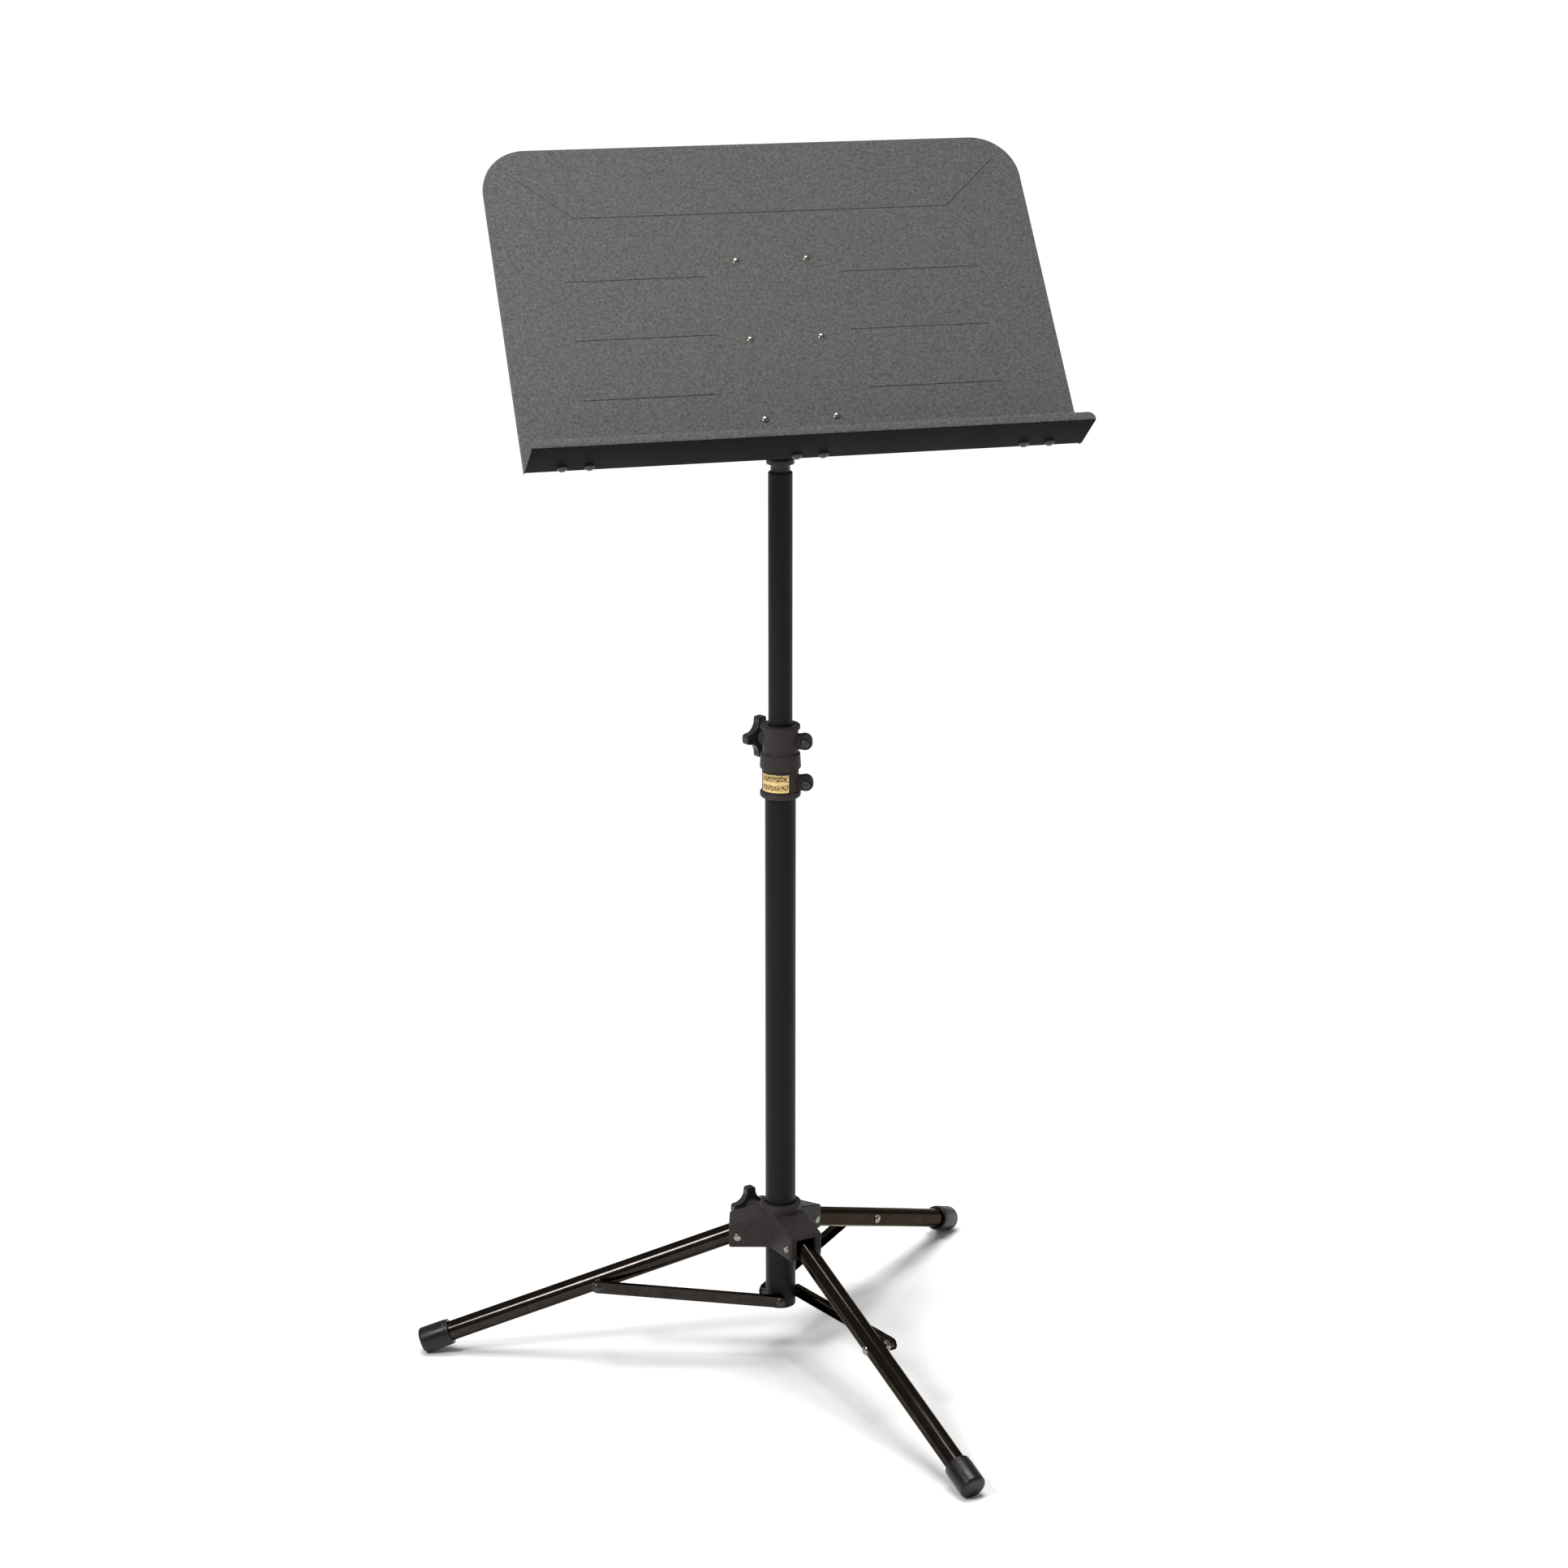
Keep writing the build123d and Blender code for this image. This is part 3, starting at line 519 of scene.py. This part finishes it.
def rounded_tube(radius, wall, length, end):
    """Tube along +Z with its upper rim cut to a circle of a given size about the pivot, which
    lies on X: each point's start is -sqrt(end^2 - x^2), where x is its reach along the cut."""
    angle = np.linspace(0, 2 * math.pi, 97)[None, :]
    radii = np.array([radius - wall, radius - wall, radius, radius, radius - wall,
                      radius - wall])[:, None]
    across = radii * np.cos(angle)
    cut = -np.sqrt(np.maximum(end ** 2 - across ** 2, 0))
    weight = np.array([0.5, 1, 1, 0, 0, 0.5])[:, None]
    height = cut * weight + length * (1 - weight)
    return np.stack([across, radii * np.sin(angle), height], -1)


def in_leg(grid, side):
    """Places a grid drawn with +Z down the leg, Y sideways and 0 at the leg's pivot."""
    pivot, along, sideways = leg_frame(side)
    across = np.cross(sideways, along)
    return grid @ np.stack([across, sideways, along]) + pivot


for side in leg_sides:
    shell = rounded_tube(leg_radius, leg_wall, leg_length - 3 * MM, leg_end)
    piece(f"leg_{side}_tube", [in_leg(shell, side)], f"leg_{side}", gloss_enamel,
          [f"leg_tube_{side}"])


# ---- Foot caps ------------------------------------------------------------------------------
# Soft black vinyl caps pushed over the legs' ends, each worn to a small flat on the floor.

# Soft vinyl: black, slightly greasy sheen, faint mould bloom.
soft_vinyl = coating("soft_black_vinyl", "#0c0c0b", "#141312", 2.5, 0.26, 0.40, 0.8, 0.015,
                     cloud=12.0, Specular_IOR_Level=0.30)

cap_radius = 12.6 * MM
cap_round = 3.2 * MM
cap_profile = soft_corners([
    (leg_radius + 0.05 * MM, leg_length - 12 * MM, 0),
    (leg_radius + 0.05 * MM, leg_length - cap_length, 0.4 * MM),
    (cap_radius - 0.25 * MM, leg_length - cap_length, 0.8 * MM),
    (cap_radius - 0.25 * MM, leg_length - cap_length + 3.6 * MM, 0.5 * MM),
    (cap_radius, leg_length - cap_length + 4.2 * MM, 0.5 * MM),
    (cap_radius, leg_length, cap_round), (0, leg_length, 0)], 12)
for side in leg_sides:
    cap = in_leg(lathe(cap_profile), side)
    cap[..., 2] = np.maximum(cap[..., 2], 0)
    piece(f"foot_{side}_cap", [cap], f"leg_{side}", soft_vinyl,
          [f"foot_cap_{side}"])


# ---- Braces ---------------------------------------------------------------------------------
# Channels pressed from 1.2 mm strip in the legs' enamel, one to each leg.  They turn on rivets
# through the mast's foot and stand off the leg on a spacer.

rivet_radius = 2.5 * MM
brace_inner = 15.0 * MM
spacer_radius = 5.0 * MM
spacer_far = brace_inner - 0.3 * MM
brace_voxel, brace_passes = 0.42, 4
leg_rivet = domed_rivet(4.4 * MM, 2.6 * MM, rivet_radius, -leg_radius - spacer_far)
spacer = soft_corners([(rivet_radius, leg_radius + 2 * MM, 0), (rivet_radius, leg_radius, 0),
                       (spacer_radius, leg_radius, 0.4 * MM),
                       (spacer_radius, spacer_far, 0.4 * MM), (rivet_radius, spacer_far, 0),
                       (rivet_radius, leg_radius + 2 * MM, 0)])
for side in leg_sides:
    softened(f"brace_{side}", f"brace_{side}_channel", f"brace_arm_{side}",
             gloss_enamel, brace_voxel, brace_passes)
    pivot, along, sideways = leg_frame(side)
    crossing = pivot + along * joint_along
    head = placed(lathe(leg_rivet, 40), crossing - sideways * leg_radius, -sideways)
    collar = placed(lathe(spacer, 40), crossing, sideways)
    piece(f"leg_{side}_rivet", [head, collar], f"leg_{side}", nickel_plate,
          [f"leg_brace_pin_{side}"])
finish_node([f"brace_rivet_{side}" for side in leg_sides] + ["brace_pivot_rivets"],
            blackened_steel)


# ---- Desk head ------------------------------------------------------------------------------
# A zinc casting painted satin black: a spigot that swivels in the mast, a ring that sits over
# the tube, a tapered column and the cross boss for the tilt bolt.

# Satin paint on a casting: like the tube's coat with a coarser skin.
painted_casting = coating("satin_paint_on_casting", "#121212", "#1a1a1a", 3.0, 0.38, 0.48, 1.6,
                          0.03, cloud=20.0, Specular_IOR_Level=0.3)
head_voxel, head_passes = 0.6, 5
softened("desk_head", "desk_head_casting", "head", painted_casting, head_voxel,
         head_passes)


# ---- Desk panel -----------------------------------------------------------------------------
# Pressed from 1 mm steel sheet, with a returned rim, shallow creases for stiffness and a fine
# textured powder coat in charcoal.

def textured_powder(name, painted_shade_towards=None):
    """Wrinkled charcoal powder: fine grey mottle about 2 mm across, lighter on its peaks, over a
    barely visible waviness of the sheet.  Faces turned towards the given direction get painted
    shade: a near black colour and almost no sheen, standing in for the shade they lie in."""
    material, tree, shader = new_material(name, Specular_IOR_Level=0.3)
    coords = node(tree, "ShaderNodeTexCoord")
    place = coords.outputs["Object"]
    mottle = node(tree, "ShaderNodeTexNoise", {"Scale": 1000 / 2.2, "Detail": 4.0,
                                               "Roughness": 0.7}, {"Vector": place})
    clouds = node(tree, "ShaderNodeTexNoise", {"Scale": 1000 / 55, "Detail": 2.0},
                  {"Vector": place})
    shade = node(tree, "ShaderNodeMapRange", {"From Min": 0.30, "From Max": 0.70},
                 {"Value": mottle.outputs["Fac"]})
    colour = node(tree, "ShaderNodeMix", {"data_type": "RGBA", 6: linear("#303030"),
                                          7: linear("#60605d")}, {0: shade.outputs["Result"]})
    gloss = node(tree, "ShaderNodeMapRange", {"To Min": 0.52, "To Max": 0.66},
                 {"Value": clouds.outputs["Fac"]})
    grit = node(tree, "ShaderNodeTexNoise", {"Scale": 1000 / 1.4, "Detail": 3.0},
                {"Vector": place})
    waves = node(tree, "ShaderNodeBump", {"Strength": 1.0, "Distance": 0.25 * MM},
                 {"Height": clouds.outputs["Fac"]})
    bump = node(tree, "ShaderNodeBump", {"Strength": 1.0, "Distance": 0.12 * MM},
                {"Height": grit.outputs["Fac"], "Normal": waves.outputs["Normal"]})
    # Painted shade: faces turned the given way are coloured near black (#050505) with a weak
    # sheen, in place of the shade that falls on them.
    if painted_shade_towards is not None:
        facing = node(tree, "ShaderNodeVectorMath", {"operation": "DOT_PRODUCT",
                                                     1: tuple(painted_shade_towards)},
                      {0: coords.outputs["Normal"]})
        painted_shade_mask = node(tree, "ShaderNodeMath", {"operation": "GREATER_THAN", 1: 0.75},
                    {0: facing.outputs["Value"]})
        colour = node(tree, "ShaderNodeMix", {"data_type": "RGBA", 7: linear("#050505")},
                      {0: painted_shade_mask.outputs[0], 6: colour.outputs[2]})
        sheen = node(tree, "ShaderNodeMapRange", {"To Min": 0.3, "To Max": 0.05},
                     {"Value": painted_shade_mask.outputs[0]})
        tree.links.new(sheen.outputs["Result"], shader.inputs["Specular IOR Level"])
    tree.links.new(colour.outputs[2], shader.inputs["Base Color"])
    tree.links.new(gloss.outputs["Result"], shader.inputs["Roughness"])
    tree.links.new(bump.outputs["Normal"], shader.inputs["Normal"])
    return material


finish_node(["desk_panel"], textured_powder("textured_charcoal_powder_coat"))


# ---- Ledge ----------------------------------------------------------------------------------
# A second sheet folded to a shelf with a low upturned lip, riveted under the panel's flange.  It
# has the panel's charcoal coat, and its underside is coloured near black as painted shade.

desk_tilt = math.radians(38.0)
desk_width = 504.0 * MM
desk_foot = np.array([0, -92.0, 893.2]) * MM
up_panel = np.array([0, math.sin(desk_tilt), math.cos(desk_tilt)])
to_player = np.array([0, -math.cos(desk_tilt), math.sin(desk_tilt)])
ledge_depth = 44.0 * MM
lip_height = 7.0 * MM
sheet = 1.0 * MM
lip_corner = 6.5 * MM


def ledge_shell():
    """The shelf and lip's closed section carried along the lip.  Near each end the lip's height
    follows a quarter circle, lip - c + sqrt(c^2 - (c - d)^2) at a distance d from the end, and
    the two end rings are drawn in to the section's middle, which closes them."""
    section = soft_corners([
        (ledge_depth / 2, -sheet, 0), (ledge_depth, -sheet, 1.5 * MM),
        (ledge_depth, lip_height, 0.45 * MM), (ledge_depth - sheet, lip_height, 0.45 * MM),
        (ledge_depth - sheet, 0, 0.6 * MM), (-sheet, 0, 0.3 * MM), (-sheet, -sheet, 0.3 * MM),
        (ledge_depth / 2, -sheet, 0)], 6)
    ease = 1 - np.cos(np.linspace(0, math.pi / 2, 16))
    left = np.concatenate([[0, 0], lip_corner * ease])
    middle = np.linspace(lip_corner, desk_width - lip_corner, 60)[1:-1]
    from_left = np.concatenate([left, middle, desk_width - left[::-1]])
    inset = np.minimum(np.minimum(from_left, desk_width - from_left), lip_corner)
    top = lip_height - lip_corner + np.sqrt(lip_corner ** 2 - (lip_corner - inset) ** 2)
    out, up = section[None, :, 0], section[None, :, 1]
    up = np.where(up > 0, up * (top / lip_height)[:, None], up)
    out = np.repeat(out, len(from_left), 0)
    for end in (0, -1):
        out[end], up[end] = out[end].mean(), -sheet / 2
    grid = desk_foot + out[..., None] * to_player + up[..., None] * up_panel
    grid[..., 0] = (from_left - desk_width / 2)[:, None]
    return grid


# The ledge's coat paints shade on its underside: faces turned down are coloured near black.
ledge_coat = textured_powder("charcoal_powder_with_painted_shade_below", -up_panel)
piece("music_ledge", [ledge_shell()], "desk", ledge_coat, ["desk_ledge"])


# ---- Desk bracket and its rivets ------------------------------------------------------------
# A pressed saddle behind the panel with two ears for the tilt bolt, held by six nickel rivets;
# six more hold the ledge.

# Smooth powder coat: black with a soft sheen and light orange peel.
smooth_powder = coating("smooth_black_powder_coat", "#101112", "#161718", 6.0, 0.60, 0.70, 1.8,
                        0.015, Specular_IOR_Level=0.06)
finish_node(["desk_bracket"], smooth_powder)
rivet_up = np.array([-1, 0, 1]) * 79.0 * MM + 117.0 * MM
rivet_across = np.array([-1, 1]) * 32.5 * MM
bracket_back = 2.5 * MM
panel_rivet = 1.9 * MM
face_head = domed_rivet(3.2 * MM, 1.3 * MM, panel_rivet, -bracket_back)
back_head = domed_rivet(3.0 * MM, 1.2 * MM, panel_rivet, -bracket_back / 2)
desk_rivets = []
for across in rivet_across:
    for up in rivet_up:
        spot = desk_foot + up * up_panel + np.array([across, 0, 0])
        desk_rivets.append(placed(lathe(face_head, 36), spot, to_player))
        desk_rivets.append(placed(lathe(back_head, 36), spot - bracket_back * to_player,
                                  -to_player))
piece("bracket_rivet_heads", desk_rivets, "desk", nickel_plate,
      ["bracket_rivets"])

under_head = domed_rivet(4.6 * MM, 3.4 * MM, panel_rivet, -sheet)
over_head = domed_rivet(3.2 * MM, 1.0 * MM, panel_rivet, -sheet)
ledge_rivet_depth = 4.9 * MM
ledge_rivets_at = np.array([-220, -196, -12, 12, 196, 220]) * MM
shelf_rivets = []
for across in ledge_rivets_at:
    spot = desk_foot + ledge_rivet_depth * to_player + np.array([across, 0, 0])
    shelf_rivets.append(placed(lathe(under_head, 36), spot - sheet * up_panel, -up_panel))
    shelf_rivets.append(placed(lathe(over_head, 36), spot + sheet * up_panel, up_panel))
piece("ledge_rivet_heads", shelf_rivets, "desk", blackened_steel,
      ["ledge_rivets"])


# ---- Camera, floor and light ----------------------------------------------------------------
# A white floor under a wide soft light overhead, with one softbox at the front left.

camera_turn = math.radians(15.67)
camera_pitch = math.radians(16.38)
camera_distance, camera_height, camera_aside = 3.120, 1.4874, 0.0033
camera = bpy.data.objects.new("camera", bpy.data.cameras.new("camera"))
camera.data.lens = 81.24
camera.data.sensor_width = 36.0
camera.data.clip_end = 60
camera.location = (
    camera_aside * math.cos(camera_turn) - camera_distance * math.sin(camera_turn),
    -camera_aside * math.sin(camera_turn) - camera_distance * math.cos(camera_turn),
    camera_height)
camera.rotation_euler = (math.pi / 2 - camera_pitch, 0, -camera_turn)
bpy.context.scene.collection.objects.link(camera)
bpy.context.scene.camera = camera

floor_mesh = bpy.data.meshes.new("floor")
floor_half = 40.0
floor_mesh.from_pydata([(-floor_half, -floor_half, 0), (floor_half, -floor_half, 0),
                        (floor_half, floor_half, 0), (-floor_half, floor_half, 0)], [],
                       [(0, 1, 2, 3)])
floor = bpy.data.objects.new("floor", floor_mesh)
bpy.context.scene.collection.objects.link(floor)
floor_paper, _, floor_shader = new_material("matt_white_paper", Roughness=0.9)
floor_shader.inputs["Base Color"].default_value = linear("#f4f4f3")
floor.data.materials.append(floor_paper)

world = bpy.data.worlds.new("studio")
world.use_nodes = True
background = world.node_tree.nodes["Background"]
background.inputs["Color"].default_value = (1, 1, 1, 1)
background.inputs["Strength"].default_value = 0.28
bpy.context.scene.world = world


def lamp(name, kind, place, aim, size, strength):
    """Light of a kind and strength at a place, turned to a point."""
    light = bpy.data.lights.new(name, kind)
    if kind == "SUN":
        light.angle = size
    else:
        light.size = size
    light.energy = strength
    made = bpy.data.objects.new(name, light)
    made.location = place
    made.rotation_euler = (Vector(aim) - Vector(place)).to_track_quat("-Z", "Y").to_euler()
    bpy.context.scene.collection.objects.link(made)


sun_angle, sun_strength = math.radians(34), 3.0
softbox_size, softbox_watts = 0.62, 45
lamp("overhead", "SUN", (0, 0.2, 3), (0, 0, 0), sun_angle, sun_strength)
lamp("front_left_softbox", "AREA", (-1.85, -0.9, 2.2), (0, 0, 0.2), softbox_size, softbox_watts)
bpy.context.scene.view_settings.view_transform = "Standard"
